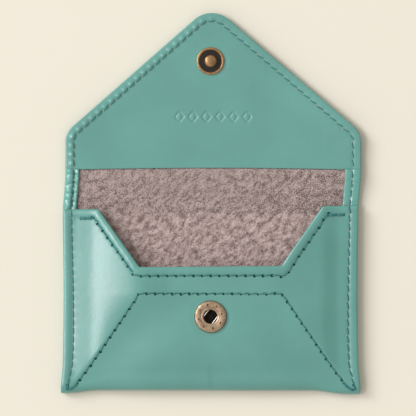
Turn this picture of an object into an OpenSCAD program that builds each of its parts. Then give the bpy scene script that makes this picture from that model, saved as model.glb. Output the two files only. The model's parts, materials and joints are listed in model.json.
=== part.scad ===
// Envelope card holder in smooth leather, lying open with its flap up.
// X runs across the holder, Y from the bottom fold to the tip of the flap, Z up from the face it lies on.
// The origin is on the outer face of the back panel, halfway between the bottom fold and the flap fold.

/* [Body] */
// Width of the body and of the flap
body_w = 106; // [100:1:114]
// Distance from the bottom fold to the middle of the flap fold
body_h = 72; // [68:0.5:78]
// Clear height inside the pocket, in its middle
pocket_h = 4.6; // [4.4:0.1:5.5]

/* [Leather] */
// Thickness of the outer leather
leather_t = 1.0; // [0.8:0.1:1.2]
// Thickness of the suede lining of the back
suede_t = 0.6; // [0.4:0.1:0.8]
// Thickness of the suede lining of the front
front_lining_t = 0.5; // [0.4:0.1:0.6]
// Thickness of the flap's leather lining
flap_lining_t = 0.9; // [0.7:0.1:1.1]
// Thickness of the edge turned over onto the suede
turned_t = 0.7; // [0.5:0.1:0.9]
// Width of the edge turned over onto the suede
turned_w = 5.2; // [4:0.1:7]

/* [Front panel] */
// Distance from the flap fold down to the tops of the two tabs
tab_drop = 6.6; // [6:0.1:9]
// Distance from the flap fold down to the bottom of the mouth
mouth_drop = 28; // [24:0.5:34]
// Half the distance between the two tabs
mouth_half = 40.3; // [36:0.1:42]
// Half the width of the mouth at its bottom
mouth_foot = 25.6; // [20:0.1:30]
// Half the length of the top line of the envelope stitching
crease_half = 25.7; // [20:0.1:30]
// Distance from the bottom of the mouth down to the top line of the envelope stitching
crease_drop = 9.5; // [7.5:0.5:12]

/* [Flap] */
// Distance from the flap fold to where the two slanted edges would meet
flap_h = 66.1; // [62:0.1:72]
// Distance from the flap fold to the shoulder, where the slanted edges start
shoulder_h = 20.2; // [16:0.1:24]
// Radius of the shoulders
shoulder_r = 7; // [4:0.5:9]
// Radius of the tip
tip_r = 9.4; // [6:0.1:12]
// Distance from the flap fold to the edge of the flap's lining
lining_start = 7.2; // [6.8:0.1:9]
// Height that the cap under the flap holds it off the table
flap_lift = 1.0; // [0.8:0.1:1.2]

/* [Stitching] */
// Length of one stitch and the gap after it
stitch_pitch = 3.1; // [2.5:0.1:4]
// Thickness of the thread
thread_d = 0.55; // [0.4:0.05:0.6]
// Distance from an edge to its row of stitches
stitch_inset = 3.1; // [2.8:0.1:3.6]

/* [Snap] */
// Distance from the flap fold to the snap, on the flap and on the front alike
snap_drop = 45.8; // [44:0.1:50]
// Diameter of the socket's face
socket_d = 11.6; // [11:0.1:13]
// Diameter of the hole in the socket
socket_hole_d = 4.9; // [4.7:0.1:5.2]
// Diameter of the stud's ring
stud_ring_d = 9.9; // [9:0.1:11]
// Diameter of the stud's head
stud_head_d = 4.0; // [3.8:0.1:4.1]
// Diameter of the cap on the outside of the flap
cap_d = 11; // [10:0.1:12]

/* [Hidden] */
$fn = 64;
eps = 0.02;
FOLD_STEPS = 3;                      // the fold turns at this many axes
fold_angle = 180 / FOLD_STEPS;
half_w = body_w / 2;
fold_y = body_h / 2;
bottom_y = -body_h / 2;

// heights in the body, from the table up
suede_top = leather_t + suede_t;
turned_top = suede_top + turned_t;
front_stack = front_lining_t + leather_t;
seam_z = turned_top + front_stack;
front_top = suede_top + pocket_h + front_stack;

// the snap, in the middle of the front panel
snap_y = fold_y - snap_drop;
socket_face_h = 0.7;
socket_groove_h = 0.6;
socket_groove_r = socket_hole_d / 2 + 0.6;
socket_tube_r = socket_groove_r + 0.35;
socket_hole_r = socket_tube_r + 0.1;
socket_flange_h = 0.5;
spring_wire_r = 0.22;
spring_half_gap = 1.98;
dimple_count = 8;
dimple_r = 0.5;
patch_r = 8;
front_patch_t = 0.22;

// a straight stitch bridges the bends of the surface, so it lies this far above
surface_gap = 0.15;

// the fold: three parallel axes a step apart, so that the closed flap clears the socket
axis_z = 0.97;
stud_ring_h = 0.5;
closing_gap = 0.15;
flap_top = leather_t + flap_lining_t;
closed_lining_z = front_top + socket_face_h + stud_ring_h + closing_gap;
fold_step = (closed_lining_z + flap_top - 2 * axis_z) / (2 * sin(fold_angle));
lift_step = flap_lift / (FOLD_STEPS - 1);
fold_mid_y = fold_y + lift_step * sin(fold_angle);
fold_axis_y = [for (i = [-1:1]) fold_mid_y + i * fold_step];
leather_gap = 0.5;
suede_gap = 1.2;
turned_gap = 2.1;

// the stud, on the flap
stud_y = fold_y + snap_drop;
flap_z = flap_lift;
lining_z = flap_z + leather_t;
flap_face_z = flap_z + flap_top;
flap_patch_t = 0.35;
stud_base_h = 0.2;
stud_neck_r = 1.55;
stud_neck_h = 1.55;
stud_head_h = 0.8;
stud_h = 2.9;
post_r = 1.2;
post_clearance = 0.06;
post_h = 1.4;

// outlines
tab_y = fold_y - tab_drop;
mouth_y = fold_y - mouth_drop;
crease_y = mouth_y - crease_drop;
mouth_angle = atan2(tab_y - mouth_y, mouth_half - mouth_foot);
flap_slope = atan2(flap_h - shoulder_h, half_w);
roll_r = 2.9;
roll_y = bottom_y + roll_r;
above = 20;

// height of the front panel from the middle to the side, and from the bottom fold to the tabs
side_rise = [
    [0, front_top], [half_w - 23, front_top], [half_w - 15, front_top - 0.4], [half_w - 10, front_top - 1.4],
    [half_w - 6, seam_z + 0.4], [half_w - turned_w, seam_z], [half_w + 5, seam_z]
];
end_rise = [
    [roll_y, 2 * roll_r], [bottom_y + 13, front_top - 0.2], [snap_y - 8, front_top],
    [mouth_y + 5, front_top], [tab_y, front_top - 2.4], [fold_y, front_top - 2.4]
];

teal = [0.44, 0.66, 0.62];
teal_light = [0.47, 0.70, 0.66];
mauve = [0.63, 0.55, 0.52];
thread_green = [0.12, 0.43, 0.43];
bright_brass = [0.72, 0.60, 0.36];
old_brass = [0.55, 0.43, 0.26];

// ---- points and outlines ----

function unit(v) = v / norm(v);
function flip_x(points) = [for (i = [len(points) - 1:-1:0]) [-points[i].x, points[i].y]];

// the arc that rounds the corner b between a and c
function corner_arc(a, b, c, r, n = 8) =
    let (u = unit(a - b), v = unit(c - b), half = acos(u * v) / 2)
    let (centre = b + unit(u + v) * r / sin(half), reach = r / tan(half))
    let (p = b + u * reach - centre, q = b + v * reach - centre)
    let (start = atan2(p.y, p.x), turn = (atan2(q.y, q.x) - start + 540) % 360 - 180)
    [for (i = [0:n]) centre + r * [cos(start + turn * i / n), sin(start + turn * i / n)]];

// a row of points with the inner corners rounded; a radius of 0 keeps the corner
function rounded(points, radii) = [
    for (i = [0:len(points) - 1])
        each radii[i] > 0 ? corner_arc(points[i - 1], points[i], points[i + 1], radii[i]) : [points[i]]
];

// the flap's edge moved in by d, from the right end of the fold over the tip to the left end
function flap_edge(start_y, d) =
    let (x = half_w - d, peak = fold_y + flap_h - d / cos(flap_slope))
    let (right = [[x, start_y], [x, peak - x * tan(flap_slope)]])
    rounded(concat(right, [[0, peak]], flip_x(right)), [0, shoulder_r - d, tip_r - d, shoulder_r - d, 0]);

// the mouth's edge moved out into the leather by d, from the right tab down and up to the left tab
function mouth_edge(end_x, d) =
    let (shift = d * tan(mouth_angle / 2))
    let (right = [[end_x, tab_y - d], [mouth_half + shift, tab_y - d], [mouth_foot + shift, mouth_y - d]])
    rounded(concat(right, flip_x(right)), [0, 1.5, 1 + d / 2, 1 + d / 2, 1.5, 0]);

seam_x = half_w - stitch_inset;
crease_foot = [half_w - 2.6, bottom_y + 1.6];
crease_line = [crease_foot, [crease_half, crease_y], [-crease_half, crease_y], [-crease_foot.x, crease_foot.y]];

// the height of the front panel's outer face
function front_z(p) = min(lookup(abs(p.x), side_rise), lookup(p.y, end_rise));

// ---- thread ----

function path_lengths(path) = [for (i = [0:len(path) - 2]) norm(path[i + 1] - path[i])];
function total(lengths, i = 0) = i < len(lengths) ? lengths[i] + total(lengths, i + 1) : 0;
function point_at(path, s, i = 0) =
    let (step = norm(path[i + 1] - path[i]))
    s <= step || i == len(path) - 2 ? path[i] + (path[i + 1] - path[i]) * s / step : point_at(path, s - step, i + 1);

// a straight length of thread between two points
module strand(a, b, d) {
    v = b - a;
    translate(a)
        rotate([0, acos(v.z / norm(v)), atan2(v.y, v.x)])
            cylinder(h = norm(v), d = d, $fn = 16);
}

// a row of stitches along a path, lying on the surface whose height the function gives
module stitches(path, height, d = thread_d) {
    length = total(path_lengths(path));
    count = max(1, round(length / stitch_pitch));
    step = length / count;
    for (i = [0:count - 1]) {
        p = point_at(path, step * (i + 0.14));
        q = point_at(path, step * (i + 0.86));
        lift = d / 2 + surface_gap;
        strand([p.x, p.y, height(p) + lift], [q.x, q.y, height(q) + lift], d);
    }
}

module both_sides() {
    children();
    mirror([1, 0, 0]) children();
}

// ---- solids of the body ----

// the section across the holder, moved in by d from the outer face
module cross_section(d) {
    right = [for (p = side_rise) [p.x, p.y - d]];
    polygon(concat([[half_w + 5, d]], [for (i = [len(right) - 1:-1:0]) right[i]],
                   [for (p = right) [-p.x, p.y]], [[-half_w - 5, d]]));
}

// the section along the holder, moved in by d from the outer face
module long_section(d) {
    bend = roll_r - d;
    polygon(concat([[fold_y, d]],
                   [for (a = [270:-15:105]) [roll_y + bend * cos(a), roll_r + bend * sin(a)]],
                   [for (p = end_rise) [p.x, p.y - d]]));
}

// everything that lies within d of neither the outer face nor the bottom fold
module body_space(d) {
    intersection() {
        rotate([90, 0, 0]) linear_extrude(2 * body_h, center = true) cross_section(d);
        rotate([90, 0, 90]) linear_extrude(2 * body_w, center = true) long_section(d);
    }
}

// what is cut away over the suede: the mouth, and all that is above the tabs
module mouth_cut(d) {
    edge = mouth_edge(half_w + 5, d);
    translate([0, 0, suede_top + 0.1])
        linear_extrude(above) polygon(concat(edge, [[-half_w - 5, fold_y + 5], [half_w + 5, fold_y + 5]]));
}

module slab(y0, y1, z, t, w = half_w) {
    translate([-w, y0, z]) cube([2 * w, y1 - y0, t]);
}

module edge_pair(y0, y1, z) {
    both_sides() translate([half_w - turned_w, y0, z]) cube([turned_w - eps, y1 - y0, turned_t - eps]);
}

module socket_hole(r) {
    translate([0, snap_y, suede_top + 0.5]) cylinder(h = above, r = r);
}

// outer leather of the back, the bottom fold and the front, in one piece
module body_leather() {
    color(teal) difference() {
        intersection() {
            body_space(0);
            slab(bottom_y, fold_axis_y[0] - leather_gap / 2, 0, above);
        }
        body_space(leather_t);
        mouth_cut(0);
        // above the back panel's own thickness nothing reaches past the tabs
        slab(tab_y, fold_y + 5, leather_t, above, half_w + 5);
        socket_hole(socket_hole_r);
    }
}

// suede that lines the back, from the bottom fold to the flap fold
module back_suede() {
    color(mauve) slab(roll_y, fold_axis_y[0] - suede_gap / 2, leather_t, suede_t, half_w - 0.3);
}

// suede that lines the inside of the front
module front_lining() {
    color(mauve) difference() {
        intersection() {
            body_space(leather_t + eps);
            slab(roll_y + 2, tab_y, turned_top, above, half_w - 0.3);
        }
        body_space(front_stack - eps);
        mouth_cut(0.4);
        socket_hole(socket_hole_r);
        translate([0, snap_y, front_top - leather_t - front_patch_t - eps]) cylinder(h = 1, r = patch_r + 0.3);
    }
}

// edges of the outer leather, turned over onto the suede and sewn into the side seams
module body_turned_edges() {
    color(teal_light) edge_pair(roll_y, fold_axis_y[0] - turned_gap / 2, suede_top + eps / 2);
}

// stiff patch between the front and its lining that the socket grips
module front_patch() {
    color("tan") difference() {
        translate([0, snap_y, front_top - leather_t - front_patch_t]) cylinder(h = front_patch_t - eps, r = patch_r);
        socket_hole(socket_hole_r);
    }
}

// ---- thread of the body ----

module side_seam_thread() {
    row = [[seam_x, tab_y - 1], [seam_x, bottom_y + 4]];
    color(thread_green) {
        stitches(row, function (p) front_z(p));
        stitches(flip_x(row), function (p) front_z(p));
    }
}

module mouth_thread() {
    color(thread_green) stitches(mouth_edge(seam_x - 2.6, stitch_inset), function (p) front_z(p));
}

module envelope_thread() {
    color(thread_green) stitches(crease_line, function (p) front_z(p));
}

// the doubled stitches that end the rows at the tabs
module bar_tacks() {
    y = tab_y - stitch_inset - 0.75;
    row = [[seam_x - 2.8, y], [mouth_half + 1.9, y]];
    color(thread_green) {
        stitches(row, function (p) front_z(p), 0.7);
        stitches(flip_x(row), function (p) front_z(p), 0.7);
    }
}

// ---- snap socket ----

// brass case: a domed face with a ring of dimples, and the tube that goes through the front
module socket_case() {
    face_r = socket_d / 2;
    hole_r = socket_hole_d / 2;
    z0 = front_top + eps;
    top = front_top + socket_face_h;
    groove_top = top - 0.22;
    groove_floor = groove_top - socket_groove_h;
    tube_end = front_top - front_stack - socket_flange_h;
    dome = [for (a = [0:15:90]) [face_r - 0.5 + 0.5 * cos(a), top - 0.5 + 0.5 * sin(a)]];
    color(old_brass) translate([0, snap_y, 0]) difference() {
        rotate_extrude() polygon(concat(
            [[hole_r, tube_end], [socket_tube_r, tube_end], [socket_tube_r, z0], [face_r - 0.2, z0]],
            dome,
            [[hole_r + 0.85, top - 0.12], [hole_r + 0.55, top], [hole_r + 0.2, top], [hole_r, top - 0.12],
             [hole_r, groove_top], [socket_groove_r, groove_top],
             [socket_groove_r, groove_floor], [hole_r, groove_floor]]
        ));
        for (i = [0:dimple_count - 1])
            rotate(13 + i * 360 / dimple_count)
                translate([(face_r + hole_r) / 2 + 0.1, 0, top + 0.2]) sphere(r = dimple_r, $fn = 24);
    }
}

// steel spring: two straight legs across the hole, joined round one side
module socket_spring() {
    ring_r = socket_groove_r - spring_wire_r - 0.05;
    z = front_top + socket_face_h - 0.22 - socket_groove_h / 2;
    leg = sqrt(ring_r * ring_r - spring_half_gap * spring_half_gap);
    bend = 2 * asin(spring_half_gap / ring_r);
    color("silver") translate([0, snap_y, z]) rotate(52) {
        for (side = [-1, 1])
            translate([-leg, side * spring_half_gap, 0]) rotate([0, 90, 0])
                cylinder(h = 2 * leg, r = spring_wire_r, $fn = 20);
        rotate(-bend / 2) rotate_extrude(angle = bend) translate([ring_r, 0]) circle(r = spring_wire_r, $fn = 20);
    }
}

// brass washer and closed back that clinch the socket behind the lining
module socket_back() {
    top = front_top - front_stack - eps;
    floor_z = top - socket_flange_h - 0.45;
    color(old_brass) translate([0, snap_y, 0]) rotate_extrude() polygon([
        [0, floor_z], [4.1, floor_z], [5, floor_z + 0.35], [5, top],
        [socket_tube_r + 0.05, top], [socket_tube_r + 0.05, floor_z + 0.4], [0, floor_z + 0.4]
    ]);
}

// ---- fold between the back and the flap ----

// a length of the fold is the stretch between two fold axes; it lies a little higher than the last
function fold_z(i) = lift_step * (i - 0.5);

module fold_leather(i) {
    color(teal) slab(fold_axis_y[i - 1] + leather_gap / 2, fold_axis_y[i] - leather_gap / 2, fold_z(i), leather_t);
}

module fold_suede(i) {
    color(mauve) slab(fold_axis_y[i - 1] + suede_gap / 2, fold_axis_y[i] - suede_gap / 2,
                      fold_z(i) + leather_t, suede_t, half_w - 0.3);
}

module fold_edges(i) {
    color(teal_light) edge_pair(fold_axis_y[i - 1] + turned_gap / 2, fold_axis_y[i] - turned_gap / 2,
                                fold_z(i) + suede_top + eps / 2);
}

module fold_thread(i) {
    middle = (fold_axis_y[i - 1] + fold_axis_y[i]) / 2;
    row = [[seam_x, middle - stitch_pitch / 2], [seam_x, middle + stitch_pitch / 2]];
    color(thread_green) {
        stitches(row, function (p) fold_z(i) + turned_top);
        stitches(flip_x(row), function (p) fold_z(i) + turned_top);
    }
}

module fold_leather_1() { fold_leather(1); }
module fold_suede_1() { fold_suede(1); }
module fold_edges_1() { fold_edges(1); }
module fold_thread_1() { fold_thread(1); }
module fold_leather_2() { fold_leather(2); }
module fold_suede_2() { fold_suede(2); }
module fold_edges_2() { fold_edges(2); }
module fold_thread_2() { fold_thread(2); }

// ---- flap ----

module stud_hole(r = post_r + post_clearance) {
    translate([0, stud_y, flap_z - 1]) cylinder(h = flap_top + 2, r = r);
}

module flap_leather() {
    color(teal) difference() {
        translate([0, 0, flap_z]) linear_extrude(leather_t)
            polygon(flap_edge(fold_axis_y[2] + leather_gap / 2, 0));
        stud_hole();
    }
}

// end of the back's suede, held under the flap's lining
module flap_suede() {
    start = fold_axis_y[2] + suede_gap / 2;
    color(mauve) slab(start, fold_y + lining_start - eps, lining_z, suede_t, half_w - 0.3);
}

module flap_turned_edges() {
    start = fold_axis_y[2] + turned_gap / 2;
    color(teal_light) edge_pair(start, max(start + 0.4, fold_y + lining_start - eps), lining_z + suede_t + eps / 2);
}

module flap_lining() {
    color(teal) difference() {
        translate([0, 0, lining_z + eps]) linear_extrude(flap_lining_t - eps)
            polygon(flap_edge(fold_y + lining_start, 0));
        stud_hole();
        translate([0, stud_y, lining_z - eps]) cylinder(h = flap_patch_t + 2 * eps, r = patch_r + 0.3);
    }
}

// stiff patch between the flap and its lining that the stud grips
module flap_patch() {
    color("tan") difference() {
        translate([0, stud_y, lining_z + eps / 2]) cylinder(h = flap_patch_t - eps, r = patch_r);
        stud_hole();
    }
}

module flap_thread() {
    row = flap_edge(fold_y + lining_start + 1, stitch_inset);
    color(thread_green) stitches(row, function (p) flap_face_z);
}

// brass stud: a ring round a dished base, a neck and a domed head, hollow for the cap's post
module stud() {
    ring_r = stud_ring_d / 2;
    head_r = stud_head_d / 2;
    z0 = flap_face_z + eps;
    base = flap_face_z + stud_base_h;
    head = flap_face_z + stud_neck_h;
    shoulder = head + stud_head_h;
    bore = post_r + post_clearance;
    rim = [for (a = [0:30:180]) [ring_r - 0.45 + 0.45 * cos(a), flap_face_z + stud_ring_h - 0.15 + 0.15 * sin(a)]];
    dome = [for (a = [75:-15:0]) [head_r * cos(a), shoulder + (flap_face_z + stud_h - shoulder) * sin(a)]];
    color(bright_brass) translate([0, stud_y, 0]) rotate_extrude() polygon(concat(
        [[bore, z0], [ring_r, z0]],
        rim,
        [[ring_r - 1, base], [stud_neck_r + 0.3, base], [stud_neck_r, base + 0.3], [stud_neck_r, head - 0.1],
         [head_r, head + 0.2]],
        [for (i = [len(dome) - 1:-1:0]) dome[i]],
        [[0, flap_face_z + stud_h], [0, flap_face_z + post_h + 0.1], [bore, flap_face_z + post_h + 0.1]]
    ));
}

// brass cap on the outside of the flap, with the post that holds the stud
module stud_cap() {
    cap_r = cap_d / 2;
    crown = [for (a = [0:15:60]) [cap_r - 0.6 + 0.6 * cos(a), flap_z - 0.2 - (flap_z - 0.2) * sin(a) / sin(60)]];
    color(old_brass) translate([0, stud_y, 0]) rotate_extrude() polygon(concat(
        [[0, flap_face_z + post_h], [post_r, flap_face_z + post_h], [post_r, flap_z - eps], [cap_r, flap_z - eps]],
        crown,
        [[0, 0]]
    ));
}

body_leather();
back_suede();
front_lining();
body_turned_edges();
front_patch();
side_seam_thread();
mouth_thread();
envelope_thread();
bar_tacks();
socket_case();
socket_spring();
socket_back();
fold_leather_1();
fold_suede_1();
fold_edges_1();
fold_thread_1();
fold_leather_2();
fold_suede_2();
fold_edges_2();
fold_thread_2();
flap_leather();
flap_suede();
flap_turned_edges();
flap_lining();
flap_patch();
flap_thread();
stud();
stud_cap();
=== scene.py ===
"""Envelope card holder in smooth leather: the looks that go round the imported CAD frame.

Lengths in this script are millimetres in the CAD frame until a mesh is made, which is in metres.
"""

import json
import math

import bpy
import numpy as np
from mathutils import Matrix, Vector
from mathutils.geometry import delaunay_2d_cdt


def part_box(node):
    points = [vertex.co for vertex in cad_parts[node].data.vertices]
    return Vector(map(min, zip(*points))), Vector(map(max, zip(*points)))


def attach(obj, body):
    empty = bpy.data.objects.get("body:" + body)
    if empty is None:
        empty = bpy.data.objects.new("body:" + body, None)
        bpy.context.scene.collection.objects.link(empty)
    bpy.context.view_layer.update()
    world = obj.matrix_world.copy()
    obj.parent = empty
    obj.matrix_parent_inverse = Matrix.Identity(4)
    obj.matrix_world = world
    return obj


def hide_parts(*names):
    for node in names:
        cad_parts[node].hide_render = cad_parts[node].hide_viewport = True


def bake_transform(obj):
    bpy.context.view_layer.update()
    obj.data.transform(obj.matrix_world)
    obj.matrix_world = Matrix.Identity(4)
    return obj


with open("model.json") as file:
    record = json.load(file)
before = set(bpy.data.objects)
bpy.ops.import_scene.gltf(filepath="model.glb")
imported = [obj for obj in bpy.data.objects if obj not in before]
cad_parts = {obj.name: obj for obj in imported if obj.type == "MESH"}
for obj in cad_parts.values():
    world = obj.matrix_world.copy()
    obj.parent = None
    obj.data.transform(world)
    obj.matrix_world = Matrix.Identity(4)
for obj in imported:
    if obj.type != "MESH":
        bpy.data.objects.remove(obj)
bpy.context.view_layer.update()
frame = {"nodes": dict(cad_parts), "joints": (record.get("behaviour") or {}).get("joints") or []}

MM = 0.001


# ---- sizes, from the frame ----

def box_mm(node):
    low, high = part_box(node)
    return np.array(low) / MM, np.array(high) / MM


body_low, body_high = box_mm("body_leather")
sheet_low, sheet_high = box_mm("fold_leather_1")
lining_low, lining_high = box_mm("flap_lining")
socket_low, socket_high = box_mm("socket_case")
stud_low, stud_high = box_mm("stud")

half_w = body_high[0]
bottom_y = body_low[1]
front_top = body_high[2]
leather_t = sheet_high[2] - sheet_low[2]
suede_top = box_mm("back_suede")[1][2]
turned_top = box_mm("body_turned_edges")[1][2]
tab_y = box_mm("front_lining")[1][1]
socket_y = (socket_low[1] + socket_high[1]) / 2
stud_y = (stud_low[1] + stud_high[1]) / 2
fold_y = (socket_y + stud_y) / 2
flap_lift = box_mm("flap_leather")[0][2]
flap_face = lining_high[2]

axes = sorted(j["pos_m"][1] / MM for j in frame["joints"])
step = axes[1] - axes[0]
cut_1 = (axes[0] + axes[1]) / 2
cut_2 = (axes[1] + axes[2]) / 2
fold_start = axes[0] - step / 2
fold_end = axes[2] + step / 2

# sizes of the leather work that no node's box gives
FRONT_STACK = 1.5
SEAM_TOP = turned_top + FRONT_STACK
STITCH_INSET = 3.1
STITCH_PITCH = 3.1
STITCH_SHARE = 0.95  # how much of the pitch one stitch takes up
TACK_PITCH = 2.3
MOUTH_HALF, MOUTH_FOOT, MOUTH_DROP = 40.3, 25.6, 28.0
CREASE_HALF, CREASE_DROP = 25.7, 9.5
PEAK_H, SHOULDER_H, SHOULDER_R, TIP_R = 66.1, 20.2, 7.0, 9.4
TURNED_W = 5.2
SUEDE_INSET = 0.7
FRONT_LINING_INSET = 0.6
CREASE_Y = tab_y - 1.8  # the suede's crease, just below the tabs' ends
mouth_y = fold_y - MOUTH_DROP
crease_y = mouth_y - CREASE_DROP
mouth_angle = math.atan2(tab_y - mouth_y, MOUTH_HALF - MOUTH_FOOT)
flap_slope = math.atan2(PEAK_H - SHOULDER_H, half_w)
seam_x = half_w - STITCH_INSET
lining_y = lining_low[1]
MIRROR = np.array([-1, 1])


# ---- numbers over many points ----

def smooth(t):
    t = np.clip(t, 0, 1)
    return t * t * (3 - 2 * t)


def bump_at(d, width):
    return np.exp(-(d / width) ** 2)


def to_right(uv):
    """The points with those of the left half mirrored to the right."""
    return np.abs(uv) * [1, 0] + uv * [0, 1]


def wave_noise(x, y, cell, seed):
    """Smooth noise from -1 to 1 with features about cell millimetres across."""
    lattice = np.random.default_rng(seed).uniform(-1, 1, (64, 64))
    gx, gy = x / cell, y / cell
    i, j = np.floor(gx).astype(int), np.floor(gy).astype(int)
    fx, fy = smooth(gx - i), smooth(gy - j)
    row_0 = lattice[i % 64, j % 64] * (1 - fx) + lattice[(i + 1) % 64, j % 64] * fx
    row_1 = lattice[i % 64, (j + 1) % 64] * (1 - fx) + lattice[(i + 1) % 64, (j + 1) % 64] * fx
    return row_0 * (1 - fy) + row_1 * fy


def distance(points, path):
    """Shortest distance from each point to a path."""
    best = np.full(len(points), np.inf)
    for a, b in zip(path[:-1], path[1:]):
        ab = b - a
        t = np.clip((points - a) @ ab / max(ab @ ab, 1e-12), 0, 1)
        best = np.minimum(best, np.linalg.norm(points - a - t[:, None] * ab, axis=1))
    return best


def inside(points, loop):
    """Whether each point lies inside a closed loop."""
    odd = np.zeros(len(points), bool)
    x, y = points[:, 0], points[:, 1]
    for a, b in zip(loop, np.roll(loop, -1, axis=0)):
        crosses = (a[1] > y) != (b[1] > y)
        at = a[0] + (y - a[1]) * (b[0] - a[0]) / np.where(b[1] == a[1], 1e-12, b[1] - a[1])
        odd ^= crosses & (x < at)
    return odd


# ---- outlines ----

def flip_x(points):
    return [(-x, y) for x, y in reversed(points)]


def rounded(points, radii):
    """A path through the points with its inner corners rounded to these radii."""
    out, steps = [], 10
    for i, (p, r) in enumerate(zip(points, radii)):
        p = np.array(p, float)
        if r <= 0:
            out.append(p)
            continue
        u = np.array(points[i - 1], float) - p
        v = np.array(points[i + 1], float) - p
        u, v = u / np.linalg.norm(u), v / np.linalg.norm(v)
        half = math.acos(u @ v) / 2
        centre = p + (u + v) / np.linalg.norm(u + v) * r / math.sin(half)
        reach = r / math.tan(half)
        a, b = p + u * reach - centre, p + v * reach - centre
        start = math.atan2(a[1], a[0])
        turn = (math.atan2(b[1], b[0]) - start + 3 * math.pi) % (2 * math.pi) - math.pi
        for k in range(steps + 1):
            angle = start + turn * k / steps
            out.append(centre + r * np.array([math.cos(angle), math.sin(angle)]))
    return np.array(out)


def flap_edge(start_y, d):
    """The flap's edge moved in by d, from the right end over the tip to the left end."""
    x = half_w - d
    peak = fold_y + PEAK_H - d / math.cos(flap_slope)
    right = [(x, start_y), (x, peak - x * math.tan(flap_slope))]
    radii = [0, SHOULDER_R - d, TIP_R - d, SHOULDER_R - d, 0]
    return rounded(right + [(0, peak)] + flip_x(right), radii)


def mouth_edge(end_x, d):
    """The mouth's edge moved out into the leather by d, from the right tab to the left tab."""
    shift = d * math.tan(mouth_angle / 2)
    right = [(end_x, tab_y - d), (MOUTH_HALF + shift, tab_y - d), (MOUTH_FOOT + shift, mouth_y - d)]
    return rounded(right + flip_x(right), [0, 1.2, 1.4 + d / 2, 1.4 + d / 2, 1.2, 0])


def circle(x, y, r):
    angle = np.arange(40) * 2 * math.pi / 40
    return np.stack([x + r * np.cos(angle), y + r * np.sin(angle)], axis=1)


def resample(path, length):
    """The path with points at most this length apart; its own points stay."""
    out = [path[0]]
    for a, b in zip(path[:-1], path[1:]):
        n = max(1, math.ceil(np.linalg.norm(b - a) / length))
        out += [a + (b - a) * k / n for k in range(1, n + 1)]
    return np.array(out)


def beside(path, d):
    """The path moved sideways by d, to its left as it runs."""
    along = np.gradient(path, axis=0)
    along /= np.maximum(np.linalg.norm(along, axis=1), 1e-9)[:, None]
    return path + d * np.stack([-along[:, 1], along[:, 0]], axis=1)


# ---- plans: a flat triangulation that a sheet's two faces share ----

class Plan:
    """Points and triangles that fill an outline, with closer points along its edge and along lines."""

    def __init__(self, outline, lines=(), spacing=1.0, holes=()):
        closed = resample(np.vstack([outline, outline[:1]]), spacing)[:-1]
        loops = [closed] + [np.array(h) for h in holes]
        rings = (0.06, 0.18, 0.36, 0.6)
        near = []
        for k, loop in enumerate(loops):
            padded = np.vstack([loop[-1:], loop, loop[:1]])
            side = 1 if k == 0 else -1
            near += [beside(padded, side * d)[1:-1] for d in rings]
        steps = np.array([0, 0.22, 0.5, 0.8, 1.2])
        for line in lines:
            fine = resample(np.array(line), 0.42)
            near += [beside(fine, d) for d in (*-steps[:0:-1], *steps)]
        near = np.vstack(near)
        low, high = closed.min(0), closed.max(0)
        rows = np.arange(low[1], high[1], spacing * 0.87)
        grid = np.array([
            (x + (spacing / 2 if k % 2 else 0), y)
            for k, y in enumerate(rows) for x in np.arange(low[0], high[0], spacing)
        ])
        free = np.ones(len(grid), bool)
        for loop in loops:
            free &= distance(grid, np.vstack([loop, loop[:1]])) > rings[-1] + spacing * 0.4
        for line in lines:
            free &= distance(grid, np.array(line)) > steps[-1] + spacing * 0.35
        loose = np.vstack([near, grid[free]])
        edge_gap = np.min([distance(loose, np.vstack([g, g[:1]])) for g in loops], axis=0)
        keep = inside(loose, closed) & (edge_gap > rings[0] * 0.5)
        for hole in loops[1:]:
            keep &= ~inside(loose, hole)
        loose = loose[keep]
        edges, at = [], 0
        for loop in loops:
            n = len(loop)
            edges += [(at + i, at + (i + 1) % n) for i in range(n)]
            at += n
        fixed = np.vstack(loops)
        points = [Vector(p) for p in np.vstack([fixed, loose])]
        verts, _, faces, *_ = delaunay_2d_cdt(points, edges, [], 1, 1e-5, True)
        self.points = np.array([tuple(v) for v in verts])
        tris = np.array([f for f in faces if len(f) == 3])
        middle = self.points[tris].mean(1)
        good = inside(middle, closed)
        for hole in loops[1:]:
            good &= ~inside(middle, hole)
        tris = tris[good]
        a, b, c = (self.points[tris[:, k]] for k in range(3))
        area = (b[:, 0] - a[:, 0]) * (c[:, 1] - a[:, 1]) - (b[:, 1] - a[:, 1]) * (c[:, 0] - a[:, 0])
        tris[area < 0] = tris[area < 0][:, ::-1]
        self.triangles = tris[np.abs(area) > 1e-9]
        directed = dict.fromkeys((t[i], t[(i + 1) % 3]) for t in self.triangles for i in range(3))
        self.rim = [(i, j) for i, j in directed if (j, i) not in directed]


def add_object(name, data):
    obj = bpy.data.objects.new(name, data)
    bpy.context.scene.collection.objects.link(obj)
    return obj


def make_mesh(name, points_mm, faces, plan_mm=None):
    """A smooth-shaded object from points in mm; plan_mm is where each point lies on the flat leather."""
    mesh = bpy.data.meshes.new(name)
    mesh.from_pydata((np.asarray(points_mm) * MM).tolist(), [], [tuple(int(i) for i in f) for f in faces])
    mesh.validate()
    mesh.shade_smooth()
    obj = add_object(name, mesh)
    rest = np.asarray(points_mm if plan_mm is None else plan_mm, float)
    attribute = mesh.attributes.new("flat", "FLOAT_VECTOR", "POINT")
    attribute.data.foreach_set("vector", rest.astype(np.float32).ravel())
    return obj


def thick_sheet(name, plan, top, bottom):
    """A closed sheet between two faces that share a plan."""
    n = len(plan.points)
    faces = [tuple(t) for t in plan.triangles]
    faces += [tuple(t[::-1] + n) for t in plan.triangles]
    faces += [(j, i, i + n, j + n) for i, j in plan.rim]
    flat = np.column_stack([plan.points, np.zeros(n)])
    return make_mesh(name, np.vstack([top, bottom]), faces, np.vstack([flat, flat + [0, 0, 5]]))


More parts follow.
